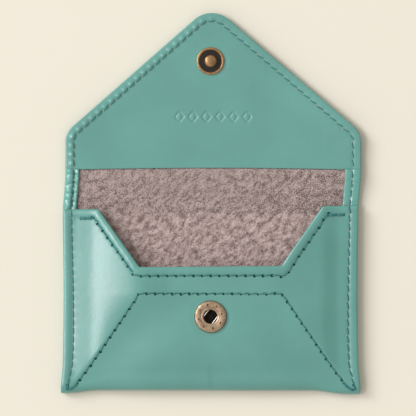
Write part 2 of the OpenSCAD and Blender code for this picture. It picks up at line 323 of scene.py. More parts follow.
def edge_drop(e, r):
    """How far a rounded edge falls below the face, at a distance e from the edge."""
    inward = np.clip(r - e, 0, r)
    return r - np.sqrt(np.maximum(r * r - inward * inward, 0))


# ---- the front: over the pocket, round the bottom fold and a little way under ----

UNDER_END = bottom_y + 6  # where the front's leather meets the back's, on the underside
ROLL_UP, ROLL_DOWN = 10.0, 4.0  # length of leather in the upper and the lower half of the bottom fold
ROLL_BACK = 2.4  # how far the lower half runs back under the front

# Each side panel's slope across its width, from the side inwards. The left one climbs gently beside the
# seam, is steepest some 13 mm in and fades out from there. The right one is steepest beside its seam.
across_panel = np.linspace(0, 40, 1601)
from_seam = smooth((across_panel - 3.2) / 1.6)
past = smooth((across_panel - 8.4) / 4.4)
fading = (1 - 0.03 * np.clip(across_panel - 12, 0, None)) * smooth((29.5 - across_panel) / 6)
left_slope = 0.2 * from_seam * (1 - past) + 0.305 * past * fading
left_slope -= 0.105 * smooth((across_panel - 27) / 4) * (1 - smooth((across_panel - 36) / 4))
band = smooth((across_panel - 6.6) / 1.6) * (1 - smooth((across_panel - 10.6) / 3.5))
right_slope = 0.09 * from_seam * (1 - past) + 0.32 * band + 0.2 * smooth((38 - across_panel) / 18) * past
LEFT_RISE, RIGHT_RISE = (np.cumsum(slope) / slope.sum() for slope in (left_slope, right_slope))


def side_share(x, y, d):
    """How far the front has risen at a distance d from the side, from 0 at the seam to 1.

    The left panel is twisted: towards the bottom it flattens out before it reaches its slanted line.
    """
    left, right = np.interp(d, across_panel, LEFT_RISE), np.interp(d, across_panel, RIGHT_RISE)
    twist = 0.0019 * (np.clip(crease_y - y, 0, 30) / 10) ** 1.3
    return np.where(x < 0, left - twist * np.clip(d - 11, 0, 14) ** 2, right)


def crease_x(y):
    """Half the width between the two slanted envelope lines at a height y."""
    foot = np.array([half_w - 2.7, bottom_y + 0.4])
    t = (y - foot[1]) / (crease_y - foot[1])
    return foot[0] + (CREASE_HALF - foot[0]) * t


def front_height(x, y):
    """The front is a low hip roof: two side panels and a bottom panel that meet along the slanted lines."""
    side = side_share(x, y, half_w - np.abs(x))
    between = np.clip(crease_x(np.minimum(y, crease_y)), CREASE_HALF, half_w - 2)
    at_crease = side_share(x, y, half_w - between)
    inner = smooth((between - np.abs(x)) / 26) * smooth((y + 42) / 24)
    foot = at_crease + (1 - at_crease) * inner
    share = np.where((np.abs(x) < between) & (y < crease_y), foot, side)
    tabs = 1 - np.where(x < 0, 0.12, 0.36) * smooth((y - mouth_y - 3) / (tab_y - mouth_y)) ** 1.2
    return SEAM_TOP + (front_top - SEAM_TOP - 0.12) * share * tabs


def fold_foot(x):
    """Where the bottom fold's edge lies; its two corners are pinched flat and flare down."""
    out = np.abs(x) - np.where(x < 0, 39.5, 35.6)
    return bottom_y - 0.25 - 0.1 * smooth((x + 20) / 40) - np.where(x < 0, 1.1, 1.3) * smooth(out / 12)


def body_half(y):
    """Half the width of the body: it has a slight waist and flares at its bottom corners."""
    return half_w - 0.3 * bump_at(y + 2, 20) + 0.75 * smooth((-22 - y) / 14) ** 2


def roll_depth(x):
    """How far the upper half of the bottom fold reaches in from the fold's edge."""
    return 3.2 + 3.0 * smooth((47 - np.abs(x)) / 14)


def front_map(uv):
    """Where a point of the flat front leather lies; u runs across and v up from under the bottom fold."""
    u, v = uv[:, 0], uv[:, 1]
    top_y = fold_foot(u) + roll_depth(u)
    height = front_height(u, np.maximum(v, top_y))
    middle = height * 0.42
    up = np.clip((top_y - v) / ROLL_UP, 0, 1) * math.pi / 2
    down = np.clip((top_y - v - ROLL_UP) / ROLL_DOWN, 0, 1) * math.pi / 2
    under = np.maximum(top_y - v - ROLL_UP - ROLL_DOWN, 0)
    y = np.where(v >= top_y, v, top_y - roll_depth(u) * np.sin(up) ** 0.8)
    y = y + ROLL_BACK * (1 - np.cos(down)) + under
    z = np.where(v >= top_y, height, middle + (height - middle) * np.cos(up) ** 0.92) - middle * np.sin(down)
    skew = 0.0135 * (u + 20) * smooth((v - 2) / 10)
    return np.stack([u * body_half(y) / half_w, y + skew, z], axis=1)


def front_end(u):
    """The v at which the front's leather ends on the underside."""
    foot = fold_foot(u)
    return foot + roll_depth(u) - ROLL_UP - ROLL_DOWN - (UNDER_END - foot - ROLL_BACK)


def normals(surface, uv):
    du, dv = np.array([0.05, 0]), np.array([0, 0.05])
    across = surface(uv + du) - surface(uv - du)
    along = surface(uv + dv) - surface(uv - dv)
    n = np.cross(across, along)
    return n / np.maximum(np.linalg.norm(n, axis=1), 1e-12)[:, None]


def along_path(path, spots):
    """Points at these lengths along a path."""
    legs = np.linalg.norm(np.diff(path, axis=0), axis=1)
    at = np.concatenate([[0], np.cumsum(legs)])
    return np.stack([np.interp(np.clip(spots, 0, at[-1]), at, path[:, k]) for k in range(2)], axis=1)


def stitch_spots(path, pitch):
    """Lengths along a path of its needle holes."""
    total = np.linalg.norm(np.diff(path, axis=0), axis=1).sum()
    return np.linspace(0, total, max(1, round(total / pitch)) + 1)


def pull(uv, *paths, width=0.95):
    """How strongly the needle holes along some paths draw the leather in, from 0 to 1."""
    spots = np.vstack([along_path(path, stitch_spots(path, STITCH_PITCH)) for path in paths])
    best = np.full(len(uv), np.inf)
    for spot in spots:
        best = np.minimum(best, np.linalg.norm(uv - spot, axis=1))
    return bump_at(best, width)


MOUTH = mouth_edge(half_w, 0)
MOUTH_ROW = mouth_edge(MOUTH_HALF + 2.4, STITCH_INSET)
FOOT_POINT = np.array([half_w - 2.9, bottom_y - 1.6])
ENVELOPE_ROW = rounded(
    [FOOT_POINT, (CREASE_HALF, crease_y), (-CREASE_HALF, crease_y), (-FOOT_POINT[0], FOOT_POINT[1])],
    [0, 0.8, 0.8, 0],
)
SEAM_ROW = rounded([
    (seam_x, tab_y), (seam_x - 0.35, 0), (seam_x - 0.6, bottom_y + 20), (seam_x - 0.3, bottom_y + 9),
    (half_w - 1.9, bottom_y - 1.6),
], [0, 20, 20, 12, 0])
TACK = np.array([(MOUTH_HALF + 2.1, tab_y - 3.2), (seam_x - 1.6, tab_y - 3.2)])
SIDE = np.array([(half_w, tab_y), (half_w, -60)])


def front_detail(uv):
    """How far the front's face stands out of its plain shape: bead, valleys, waves, the socket's seat."""
    mirrored = to_right(uv)
    from_mouth = distance(uv, MOUTH)
    edge = np.minimum(distance(mirrored, SIDE), from_mouth)
    above = smooth((uv[:, 1] - bottom_y + 1) / 3)
    pinched = pull(uv, MOUTH_ROW, SEAM_ROW, SEAM_ROW * MIRROR)
    right = smooth((from_mouth - 0.5) / 3) * (uv[:, 0] > 0)
    full = 0.3 - 0.11 * right
    bead = full * np.sin(math.pi * np.clip(edge / STITCH_INSET, 0, 1)) * above * (1 - 0.3 * pinched)
    seams = np.minimum(distance(mirrored, SEAM_ROW), distance(uv, MOUTH_ROW))
    crease = distance(uv, ENVELOPE_ROW)
    valley = (0.08 - 0.035 * right) * bump_at(seams, 0.4) + 0.07 * bump_at(crease, 0.35)
    valley += 0.02 * bump_at(crease, 1.8)
    valley += (0.05 - 0.02 * right) * pinched
    waves = 0.022 * wave_noise(uv[:, 0] + 70, uv[:, 1] + 70, 17, 3)
    waves += 0.012 * wave_noise(uv[:, 0] + 70, uv[:, 1] + 70, 6, 4)
    tacks = distance(mirrored, TACK)
    r = np.hypot(uv[:, 0], uv[:, 1] - socket_y)
    seat = smooth((8.2 - r) / 2.2)
    seat_gap = front_top - 0.03 - front_map(uv)[:, 2]
    out = bead - valley * above + waves - 0.12 * bump_at(tacks, 0.8)
    return out * (1 - seat) + seat * seat_gap - 0.2 * bump_at(r - 6.4, 0.6)


def front_face(uv):
    return front_map(uv) + normals(front_map, uv) * front_detail(uv)[:, None]


def make_front():
    across = np.linspace(-half_w, half_w, 107)
    under = np.stack([across, front_end(across)], axis=1)
    outline = np.vstack([under, MOUTH])
    lines = [MOUTH_ROW, ENVELOPE_ROW, SEAM_ROW, SEAM_ROW * MIRROR]
    hole = circle(0, socket_y, 3.9)
    plan = Plan(outline, lines, spacing=1.0, holes=[hole])
    uv = plan.points
    mirrored = to_right(uv)
    edge = np.minimum(distance(mirrored, SIDE), distance(uv, MOUTH))
    n = normals(front_map, uv)
    r = leather_t / 2 - 0.04
    drop = edge_drop(edge, r)
    where = front_map(uv)
    top = where + n * (front_detail(uv) - drop)[:, None]
    bottom = where - n * (leather_t - drop + 0.05)[:, None]
    front = thick_sheet("leather_front", plan, top, bottom)
    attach(front, "root")
    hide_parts("body_leather")

    lining_half = half_w - FRONT_LINING_INSET
    lining_outline = np.vstack([
        [(-lining_half, bottom_y + 5), (lining_half, bottom_y + 5)], mouth_edge(lining_half, 0.45)
    ])
    plan = Plan(lining_outline, spacing=1.8, holes=[hole])
    uv = plan.points
    where, n = front_map(uv), normals(front_map, uv)
    top = where - n * (leather_t + 0.07)
    bottom = where - n * (FRONT_STACK - 0.03)
    bottom[:, 2] = np.maximum(bottom[:, 2], turned_top + 0.02)
    top[:, 2] = np.maximum(top[:, 2], bottom[:, 2] + 0.1)
    lining = thick_sheet("suede_front_lining", plan, top, bottom)
    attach(lining, "root")
    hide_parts("front_lining", "front_patch")
    return [front], [lining]


# ---- the back, the fold and the flap's outer leather ----

def rise(y):
    """How far the outer leather rises: flat under the pocket, then up to the flap's height."""
    hump = 0.35 * bump_at(y - fold_y - 6, 5.5) * smooth((y - fold_start) / 5)
    return flap_lift * smooth((y - fold_start) / (fold_end - fold_start)) + hump


FLAP_LINE = flap_edge(lining_y - 2, 0)


def flap_warp(x, y):
    """The flap doesn't lie quite flat: its edges curl up and it waves a little."""
    out = smooth((y - fold_end) / 12)
    from_edge = distance(np.stack([x, y], axis=1), FLAP_LINE)
    curl = (0.9 - 0.5 * smooth((8 - x) / 16)) * smooth((14 - from_edge) / 14) ** 1.4
    curl = curl * (1 - 0.8 * smooth((y - fold_y - 23) / 16))
    curl = curl * smooth((np.hypot(x, y - stud_y) - 6.5) / 6)
    shape = curl + 0.12 * wave_noise(x + 80, y + 20, 30, 11)
    return out * (shape + 0.05 * wave_noise(x + 80, y + 20, 11, 12))


def under_height(x, y):
    """Height of the outer leather's underside with the flap's curl in it."""
    return rise(y) + flap_warp(x, y)


def placed(x, y, z):
    """Points of the back, the fold and the flap: the body is a little waisted, the flap a little askew."""
    sway = 0.95 * smooth((y - 27) / 15) * (1 - 0.6 * smooth((y - 58) / 42))
    return np.stack([x * np.where(y < tab_y, body_half(y) / half_w, 1) + sway, y, z], axis=1)


def bend(obj):
    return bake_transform(obj)


def bent_sheet(name, plan, high, low):
    """A closed sheet between two heights over its plan, set on the body's waist and the flap's sway."""
    x, y = plan.points.T
    obj = thick_sheet(name, plan, placed(x, y, high), placed(x, y, low))
    bend(obj)
    return obj


SEAM_UP = np.array([(seam_x, bottom_y + 4), (seam_x, fold_end + 6)])
STRIP_ROW = np.array([(seam_x, tab_y + 0.3), (seam_x, lining_y - 0.3)])
FLAP_ROW = flap_edge(lining_y + 0.5, 2.95)


def strip_outline(x0, x1, y0, y1):
    return np.array([(x0, y0), (x1, y0), (x1, y1), (x0, y1)])


def side_edges(uv, x):
    return np.abs(x - np.abs(uv[:, 0]))


def outer_detail(uv):
    """How deep the valley along the stitching is in the underside of the outer leather."""
    mirrored = to_right(uv)
    row = np.minimum(distance(mirrored, SEAM_UP), distance(uv, FLAP_ROW))
    return 0.34 * bump_at(row, 0.55)


def outer_sheet(name, outline, spacing, node_names, rounded_path=None):
    rows = [SEAM_UP, SEAM_UP * MIRROR] if rounded_path is None else [FLAP_ROW]
    plan = Plan(outline, [row for row in rows if inside(row, outline).any()], spacing=spacing)
    uv = plan.points
    edge = side_edges(uv, half_w) if rounded_path is None else distance(uv, rounded_path)
    base = under_height(*uv.T)
    low = base + outer_detail(uv) + edge_drop(edge, 0.75)
    high = np.maximum(base + leather_t, low + 0.02)
    obj = bent_sheet(name, plan, high, low)
    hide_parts(*node_names)
    return obj


def make_outer():
    back = outer_sheet("leather_back", strip_outline(-half_w, half_w, UNDER_END, cut_1), 1.6, [])
    fold = outer_sheet(
        "leather_fold", strip_outline(-half_w, half_w, cut_1, cut_2), 1.0,
        ["fold_leather_1", "fold_leather_2"],
    )
    edge = flap_edge(cut_2, 0)
    flap = outer_sheet("leather_flap", edge, 1.3, ["flap_leather"], rounded_path=edge)
    return [back, fold, flap]


def lining_foot(x):
    """Where the flap lining's lower edge lies; it bows a little."""
    return lining_y + 0.25 - 0.7 * (x / half_w) ** 2


def suede_face(x, y):
    """The suede's uneven nap, the crease it keeps from being folded shut, and grooves beside the leather."""
    nap = 0.05 * wave_noise(x + 60, y + 60, 2.2, 21) + 0.06 * wave_noise(x + 60, y + 60, 7, 22)
    memory = 0.12 * bump_at(y - CREASE_Y, 0.5)
    memory += 0.4 * smooth((-half_w + TURNED_W + SUEDE_INSET - x) / SUEDE_INSET)
    groove = 0.42 * bump_at(y - lining_foot(x) + 0.1, 0.22)
    return nap - memory - groove


def make_suede():
    pieces = []
    spans = [(bottom_y + 4, cut_1), (cut_1, cut_2), (cut_2, lining_y + 0.8)]
    nodes = [["back_suede"], ["fold_suede_1", "fold_suede_2"], ["flap_suede"]]
    for k, (y0, y1) in enumerate(spans):
        across = np.linspace(-half_w + 3, half_w - 3, 60)
        before_lining = np.stack([across, lining_foot(across) - 0.1], axis=1)
        lines = [before_lining] if k == 2 else []
        plan = Plan(strip_outline(-half_w + SUEDE_INSET, half_w - SUEDE_INSET, y0, y1), lines, spacing=1.1)
        uv = plan.points
        x, y = uv[:, 0], uv[:, 1]
        drop = edge_drop(side_edges(uv, half_w - SUEDE_INSET), 0.25)
        low = rise(y) + leather_t + 0.01
        high = low + (suede_top - leather_t) + suede_face(x, y) - drop
        obj = bent_sheet("suede_" + ("back", "fold", "flap")[k], plan, high, low + drop)
        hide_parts(*nodes[k])
        pieces.append(obj)
    return pieces


def wrinkles(x, y):
    """Cross wrinkles and puffed rims in the turned edges at the fold, much stronger on the left."""
    strength = np.where(x < 0, 1.0, 0.25)
    zone = smooth((y - tab_y + 1.5) / 3) * smooth((fold_y + 12 - y) / 5)
    lines = np.zeros_like(y)
    for place, depth, width in ((-4.4, 0.42, 0.45), (-1.5, 0.36, 0.4), (1.9, 0.4, 0.4), (4.6, 0.3, 0.35)):
        wander = 0.8 * wave_noise(x + 60, y * 0 + place + 60, 2.0, 31)
        lines += depth * bump_at(y - fold_y - place - wander, width)
    inward = half_w - np.abs(x)
    puff = 0.66 * np.clip((inward - 0.3) / 2.3, 0, 1) * (1 - smooth((inward - 2.45) / 0.7))
    puff += 0.44 * np.clip((inward - 3.4) / 1.3, 0, 1) * (1 - smooth((inward - 4.5) / 0.5))
    puff = puff * (0.7 + 0.4 * wave_noise(x + 60, y + 60, 2.2, 32))
    return strength * zone * (puff - lines)


def turned_face(x, y):
    """Height of the upper face of the turned-over edges."""
    inward = half_w - np.abs(x)
    row = np.abs(inward - STITCH_INSET)
    pinched = pull(np.stack([np.abs(x), y], axis=1), STRIP_ROW)
    bead = np.where(x < 0, 0.2, 0.06) * np.sin(math.pi * np.clip(inward / STITCH_INSET, 0, 1))
    bead = bead * (1 - 0.5 * pinched)
    valley = np.where(x < 0, 0.18, 0.07) * bump_at(row, 0.5) + 0.1 * pinched
    return turned_top - 0.02 + rise(y) + bead - valley + wrinkles(x, y)


def make_turned_edges():
    pieces = []
    spans = [(bottom_y + 4, cut_1), (cut_1, cut_2), (cut_2, lining_y - 0.25)]
    nodes = [["body_turned_edges"], ["fold_edges_1", "fold_edges_2"], ["flap_turned_edges"]]
    for side, label in ((-1, "left"), (1, "right")):
        # the right edge is turned over a little further than the left one
        width = TURNED_W - 0.2 if side < 0 else TURNED_W + 0.5
        for k, (y0, y1) in enumerate(spans):
            inner = side * (half_w - width)
            outer = side * (half_w + 0.03)
            outline = strip_outline(min(inner, outer), max(inner, outer), y0, y1)
            row = np.array([(side * seam_x, y0 + 0.5), (side * seam_x, y1 - 0.5)])
            plan = Plan(outline, [row], spacing=0.55)
            uv = plan.points
            x, y = uv[:, 0], uv[:, 1]
            out = np.abs(outer - x)
            drop = edge_drop(out, 1.1 if side < 0 else 0.5) + edge_drop(np.abs(x - inner), 0.45)
            high = turned_face(x, y) - drop
            low = rise(y) + np.where(out < 0.65, leather_t - 0.12, suede_top - 0.12)
            high = np.maximum(high, low + 0.03)
            name = "turned_edge_" + label + "_" + ("back", "fold", "flap")[k]
            obj = bent_sheet(name, plan, high, low)
            if side < 0:
                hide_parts(*nodes[k])
            pieces.append(obj)
    return pieces


# ---- the flap's lining ----

ORNAMENT_Y, LOZENGE_PITCH, LOZENGE_COUNT = fold_y + 25.8, 4.85, 6
IMPRINT_R = 6.1  # the ring that the socket has pressed round the stud
FLAP_SWAY = placed(np.zeros(1), np.array([stud_y]), np.zeros(1))[0, 0]
LOZENGE = np.array([(1.5, 0), (0, 1.85), (-1.5, 0), (0, -1.85), (1.5, 0)])
LOZENGES = [
    LOZENGE + [(k - (LOZENGE_COUNT - 1) / 2) * LOZENGE_PITCH, ORNAMENT_Y] for k in range(LOZENGE_COUNT)
]


def lining_face(uv):
    """Height of the flap lining's face: pillowed border, stitching, pressed row and the stud's seat."""
    x, y = uv[:, 0], uv[:, 1]
    edge = distance(uv, FLAP_LINE)
    row = distance(uv, FLAP_ROW)
    pinched = pull(uv, FLAP_ROW, width=1.5)
    left = smooth((8 - x) / 16)
    across = np.clip(edge / STITCH_INSET, 0, 1) ** (1 + 2.0 * left)
    bead = (0.07 + 0.58 * left) * np.sin(math.pi * across) * (1 - (0.5 + 0.4 * left) * pinched)
    pressed = np.min([distance(uv, line) for line in LOZENGES], axis=0)
    r = np.hypot(x + FLAP_SWAY, y - stud_y)
    imprint = 0.03 * bump_at(r - IMPRINT_R, 0.35)
    seat = smooth((7.0 - r) / 1.6)
    plain = bead - 0.08 * (1 - left) * bump_at(row, 0.5) - 0.06 * pinched
    plain += 0.03 * wave_noise(x + 80, y + 80, 9, 41)
    plain -= 0.2 * smooth((0.5 - pressed) / 0.35)
    shape = under_height(x, y) + plain - imprint
    return flap_face - flap_lift + shape * (1 - seat) + (flap_lift - 0.02) * seat


def make_lining():
    edge = flap_edge(lining_y, 0)
    across = np.linspace(-half_w, half_w, 60)[1:-1]
    lower = np.stack([across, lining_foot(across)], axis=1)
    edge[0, 1] = edge[-1, 1] = lining_y - 0.45
    outline = np.vstack([lower, edge])
    ring = circle(-FLAP_SWAY, stud_y, IMPRINT_R)
    ring = np.vstack([ring, ring[:1]])
    plan = Plan(outline, [FLAP_ROW, *LOZENGES, ring], spacing=1.1)
    uv = plan.points
    side, foot = distance(uv, edge), distance(uv, lower)
    drop = np.maximum(edge_drop(side, 0.35), edge_drop(foot, 0.2 + 0.2 * smooth((np.abs(uv[:, 0]) - 46) / 2)))
    high = lining_face(uv) - drop
    base = under_height(*uv.T) + leather_t + 0.02
    over_suede = smooth((lining_y + 2.2 - uv[:, 1]) / 1.2)
    low = base + (suede_top - leather_t) * 0.8 * over_suede + edge_drop(distance(uv, edge), 0.12)
    high = np.maximum(high, low + 0.05)
    lining = bent_sheet("flap_lining_leather", plan, high, low)
    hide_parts("flap_lining", "flap_patch")
    return [lining]


# ---- thread ----

def path_stitches(path, pitch=STITCH_PITCH):
    """Middles and directions of the stitches along a path."""
    spots = stitch_spots(path, pitch)
    ends = along_path(path, spots)
    ahead = ends[1:] - ends[:-1]
    return along_path(path, (spots[1:] + spots[:-1]) / 2), ahead / np.linalg.norm(ahead, axis=1)[:, None]


def lay_thread(name, middles, ahead, surface, side=1, seed=0, thick=0.43, slant=0.13, hole=(0.47, 0.6)):
    """Twisted stitches that rise out of one needle hole and dive into the next, and at each hole a small cone
    on the face; where that cone is coloured dark, it is painted shade for the inside of the hole.

    surface gives the leather's face at plan points; side is 1 on an upper face, -1 on a lower one.
    """
    rng = np.random.default_rng(seed)
    stations, sides = 13, 8
    tau = np.linspace(-1, 1, stations)
    turn = slant + rng.uniform(-0.05, 0.05, len(middles))
    c, s = np.cos(turn), np.sin(turn)
    leaned = np.stack([ahead[:, 0] * c - ahead[:, 1] * s, ahead[:, 0] * s + ahead[:, 1] * c], axis=1)
    half = STITCH_PITCH * STITCH_SHARE / 2 * rng.uniform(0.95, 1.04, len(middles))
    uv = middles[:, None] + leaned[:, None] * (tau[None, :, None] * half[:, None, None])
    flat = uv.reshape(-1, 2)
    up = normals(surface, flat) * side
    arch = 0.2 - 0.5 * np.abs(tau) ** 5
    spine = surface(flat) + up * np.tile(arch * thick / 0.5, len(middles))[:, None]
    spine = spine.reshape(len(middles), stations, 3)
    up = up.reshape(len(middles), stations, 3)
    along = np.gradient(spine, axis=1)
    along /= np.linalg.norm(along, axis=2)[:, :, None]
    across = np.cross(along, up)
    across /= np.linalg.norm(across, axis=2)[:, :, None]
    lift = np.cross(across, along)
    around = np.arange(sides) * 2 * math.pi / sides
    twist = np.pi * 3.2 * tau
    ply = 1 + 0.16 * np.cos(2 * (around[None, :] - twist[:, None]))
    radius = thick / 2 * ply * (1 - 0.35 * np.abs(tau) ** 4)[:, None]
    ring = (
        spine[:, :, None]
        + across[:, :, None] * (np.cos(around) * radius)[None, :, :, None]
        + lift[:, :, None] * (np.sin(around) * radius)[None, :, :, None]
    )
    per = stations * sides
    faces = []
    for m in range(len(middles)):
        base = m * per
        for i in range(stations - 1):
            for k in range(sides):
                a, b = base + i * sides + k, base + i * sides + (k + 1) % sides
                faces.append((a, b, b + sides, a + sides) if side > 0 else (a, a + sides, b + sides, b))
        first = [base + k for k in range(sides)]
        last = [base + (stations - 1) * sides + k for k in range(sides)]
        faces.append(tuple(first[::-1] if side > 0 else first))
        faces.append(tuple(last if side > 0 else last[::-1]))
    points = ring.reshape(-1, 3)
    thread = make_mesh(name, points, faces)

    # Each needle hole is a small cone on the face; a dark colour on it is painted shade.
    reach = leaned * half[:, None] * 0.98
    ends = np.vstack([middles + reach, middles[:1] - reach[:1]])
    spokes = 8
    loop = np.arange(spokes) * 2 * math.pi / spokes
    size = rng.uniform(*hole, len(ends))
    rim = ends[:, None] + np.stack([np.cos(loop), np.sin(loop)], axis=1)[None] * size[:, None, None]
    out = normals(surface, ends) * side
    hubs = surface(ends) + out * 0.05
    rims = surface(rim.reshape(-1, 2)) + normals(surface, rim.reshape(-1, 2)) * side * 0.04
    verts = np.vstack([hubs, hubs - out * 0.25, rims])
    fans = []
    for m in range(len(ends)):
        start = 2 * len(ends) + m * spokes
        for k in range(spokes):
            a, b = start + k, start + (k + 1) % spokes
            pair = [(m, a, b), (len(ends) + m, b, a)]
            fans += pair if side > 0 else [fan[::-1] for fan in pair]
    holes = make_mesh(name + "_holes", verts, fans)
    return [thread, holes]


def strip_surface(uv):
    return placed(*uv.T, turned_face(*uv.T))


def lining_surface(uv):
    return placed(*uv.T, lining_face(uv))


def outer_surface(uv):
    return placed(*uv.T, under_height(*uv.T) + outer_detail(uv))


def make_threads():
    threads, holes, pale_holes = [], [], []
    small = (0.14, 0.26)
    limits = [(-math.inf, cut_1), (cut_1, cut_2), (cut_2, math.inf)]

    def keep(made, body=None, k=None, replaced=(), pale=False):
        for i, obj in enumerate(made):
            if k is None:
                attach(obj, body)
            else:
                bend(obj)
            if i == 0 and replaced:
                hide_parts(*replaced)
            (threads if i == 0 else pale_holes if pale else holes).append(obj)

    def keep_split(name, path, surface, seed, nodes=((),) * 3, pale=False, **look):
        """A row of stitches across the fold, cut where the bodies meet."""
        mids, ahead = path_stitches(path)
        for k, (low, high) in enumerate(limits):
            some = (mids[:, 1] >= low) & (mids[:, 1] < high)
            made = lay_thread(name + str(k + 1), mids[some], ahead[some], surface, seed=seed + k, **look)
            keep(made, k=k, replaced=nodes[k], pale=pale)

    keep(lay_thread("mouth_stitches", *path_stitches(MOUTH_ROW), front_face, seed=1), "root",
         replaced=["mouth_thread"])
    keep(lay_thread("envelope_stitches", *path_stitches(ENVELOPE_ROW), front_face, seed=2), "root",
         replaced=["envelope_thread"])
    for side, label in ((1, "right"), (-1, "left")):
        right = side > 0
        seam = lay_thread("seam_stitches_" + label, *path_stitches(SEAM_ROW[::-1] * [side, 1]), front_face,
                          seed=3 + side, hole=small, thick=0.44 + 0.07 * side, slant=0.1 + 0.08 * side)
        keep(seam, "root", replaced=["side_seam_thread"] if right else [], pale=True)
        nodes = ((), ["fold_thread_1"], ["fold_thread_2"]) if right else ((),) * 3
        keep_split("fold_stitches_" + label + "_", STRIP_ROW * [side, 1], strip_surface, 10, nodes, True,
                   hole=small)
        under = np.array([(side * seam_x, bottom_y + 5), (side * seam_x, lining_y - 0.3)])
        keep_split("under_stitches_" + label + "_", under, outer_surface, 20, side=-1, thick=0.3)
        tack = (TACK + [[0, 0], [0.9 * side - 1.2, 0]]) * [side, 1]
        corner = np.array([FOOT_POINT * [side, 1], (FOOT_POINT + [-2.6, 3.5]) * [side, 1]])
        corner_2 = SEAM_ROW[-1:] * [side, 1] + [[0, 0], [-side * 0.5, 3.4]]
        for n, row in enumerate((tack, corner, corner_2)):
            for lap, shift in enumerate((-0.16, 0.17)):
                moved = row + ([0, shift] if n == 0 else [shift, 0])
                name = "tack_" + label + "_" + str(n * 2 + lap + 1)
                made = lay_thread(name, *path_stitches(moved, TACK_PITCH), front_face, seed=40 + n,
                                  thick=0.66, slant=0.05 - 0.1 * lap, hole=(0.3, 0.4))
                keep(made, "root", replaced=["bar_tacks"] if right and n == 0 and lap == 0 else [])
    row = lay_thread("flap_stitches", *path_stitches(FLAP_ROW), lining_surface, seed=50, thick=0.36,
                     slant=0.2, hole=small)
    keep(row, k=2, replaced=["flap_thread"], pale=True)
    keep(lay_thread("flap_outer_stitches", *path_stitches(FLAP_ROW), outer_surface, side=-1, seed=51), k=2)
    return threads, holes, pale_holes


# ---- materials ----

class Nodes:
    """A short way to write a node material."""

    def __init__(self, name):
        self.material = bpy.data.materials.new(name)
        self.material.use_nodes = True
        self.tree = self.material.node_tree
        self.shader = self.tree.nodes["Principled BSDF"]

    def put(self, socket, value):
        """Link another node's output to a socket, or set the socket to a plain value."""
        if isinstance(value, bpy.types.NodeSocket):
            self.tree.links.new(value, socket)
        else:
            socket.default_value = value

    def add(self, kind, inputs=None, **settings):
        node = self.tree.nodes.new(kind)
        for key, value in settings.items():
            setattr(node, key, value)
        for key, value in (inputs or {}).items():
            self.put(node.inputs[key], value)
        return node

    def flat(self, scale=(1, 1, 1), turn=0.0):
        """Millimetres on the flat leather, turned in its plane and then stretched."""
        place = self.add("ShaderNodeAttribute", attribute_name="flat").outputs["Vector"]
        turned = self.add("ShaderNodeMapping", {"Vector": place, "Rotation": (0, 0, turn)}).outputs["Vector"]
        return self.add("ShaderNodeMapping", {"Vector": turned, "Scale": scale}).outputs["Vector"]

    def solid(self):
        """Millimetres in the frame."""
        place = self.add("ShaderNodeTexCoord").outputs["Object"]
        return self.add("ShaderNodeMapping", {"Vector": place, "Scale": (1 / MM,) * 3}).outputs["Vector"]

    def noise(self, vector, scale, detail=3.0, roughness=0.5):
        inputs = {"Vector": vector, "Scale": scale, "Detail": detail, "Roughness": roughness}
        return self.add("ShaderNodeTexNoise", inputs).outputs["Fac"]

    def spread(self, value, low, high, to_low=0.0, to_high=1.0):
        inputs = {"Value": value, "From Min": low, "From Max": high, "To Min": to_low, "To Max": to_high}
        return self.add("ShaderNodeMapRange", inputs).outputs["Result"]

    def mix(self, factor, a, b):
        node = self.add("ShaderNodeMix", data_type="RGBA")
        for socket, value in ((node.inputs[0], factor), (node.inputs[6], a), (node.inputs[7], b)):
            self.put(socket, value)
        return node.outputs[2]

    def math(self, operation, a, b):
        node = self.add("ShaderNodeMath", operation=operation)
        for socket, value in zip(node.inputs, (a, b)):
            self.put(socket, value)
        return node.outputs[0]

    def bump(self, height, depth_mm, below=None):
        inputs = {"Height": height, "Strength": 1.0, "Distance": depth_mm * MM}
        if below is not None:
            inputs["Normal"] = below
        return self.add("ShaderNodeBump", inputs).outputs["Normal"]

    def use(self, **sockets):
        names = {
            "color": "Base Color", "roughness": "Roughness", "normal": "Normal", "metallic": "Metallic",
            "sheen": "Sheen Weight", "sheen_roughness": "Sheen Roughness", "specular": "Specular IOR Level",
        }
        for key, value in sockets.items():
            self.put(self.shader.inputs[names[key]], value)
        return self.material


def leather_material(name, color):
    """Smooth dyed leather: fine pores, a cloudy dye and a satin finish."""
    m = Nodes(name)
    place = m.flat()
    cloud = m.noise(place, 0.045, 3.0)
    fine = m.noise(place, 0.9, 4.0, 0.6)
    dark = tuple(c * 0.92 for c in color[:3]) + (1,)
    light = tuple(min(1.0, c * 1.05 + 0.004) for c in color[:3]) + (1,)
    dyed = m.mix(m.spread(cloud, 0.3, 0.7), dark, light)
    dyed = m.mix(m.spread(fine, 0.35, 0.65, 0.0, 0.22), dyed, dark)
    grain = m.add("ShaderNodeTexVoronoi", {"Vector": place, "Scale": 2.6, "Smoothness": 0.6},
                  feature="SMOOTH_F1").outputs["Distance"]
    soft = m.noise(place, 0.35, 2.0)
    normal = m.bump(soft, 0.03)
    normal = m.bump(fine, 0.01, normal)
    normal = m.bump(grain, 0.006, normal)
    rough = m.spread(fine, 0.3, 0.7, 0.27, 0.30)
    return m.use(color=dyed, roughness=rough, normal=normal, specular=1.0)


